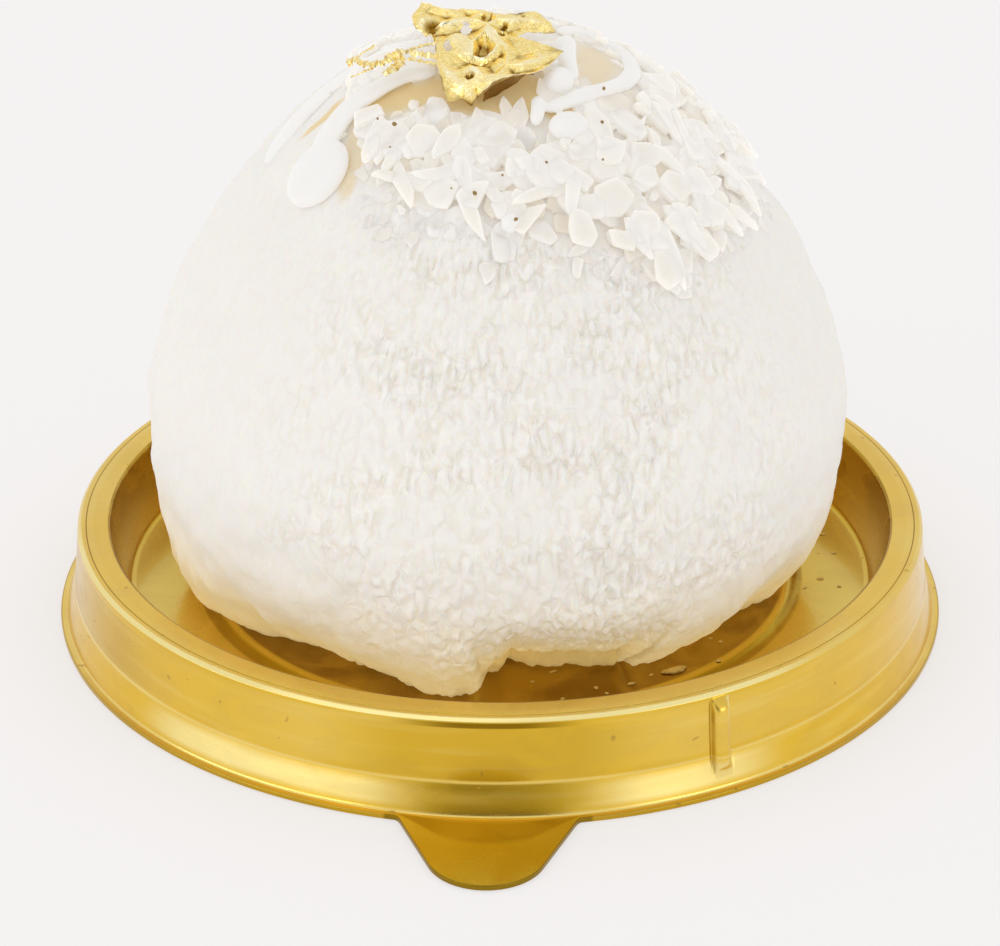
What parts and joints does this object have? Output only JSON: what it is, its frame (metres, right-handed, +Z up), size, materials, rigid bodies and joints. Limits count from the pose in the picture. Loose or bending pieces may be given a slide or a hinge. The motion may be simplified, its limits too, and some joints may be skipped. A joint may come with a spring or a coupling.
{
  "type": "mochi on a tray",
  "caption": "Round mochi with coconut flakes, a cream drizzle and a leaf of gold on its crown, standing in a shallow round tray with a pull tab.",
  "frame": {"origin": "on the surface that the tray stands on, under the middle of the tray and its tab together; the tray's own axis is 5.1 mm behind it, at Y = +0.0051", "axes": "+Z up, -Y towards the tray's pull tab, which is the front, +X to the right seen from the front"},
  "size_m": [0.09, 0.1001, 0.0639],
  "materials": {
    "gold_film": "thin formed plastic sheet with a glossy gold metal film",
    "rice_skin": "matte white rice dough, dusted with starch, with flakes and cream on top",
    "leaf_gold": "crumpled gold leaf, bright"
  },
  "bodies": {
    "root": {"tray": "gold_film", "mochi": "rice_skin", "gold_leaf": "leaf_gold"}
  },
  "joints": []
}
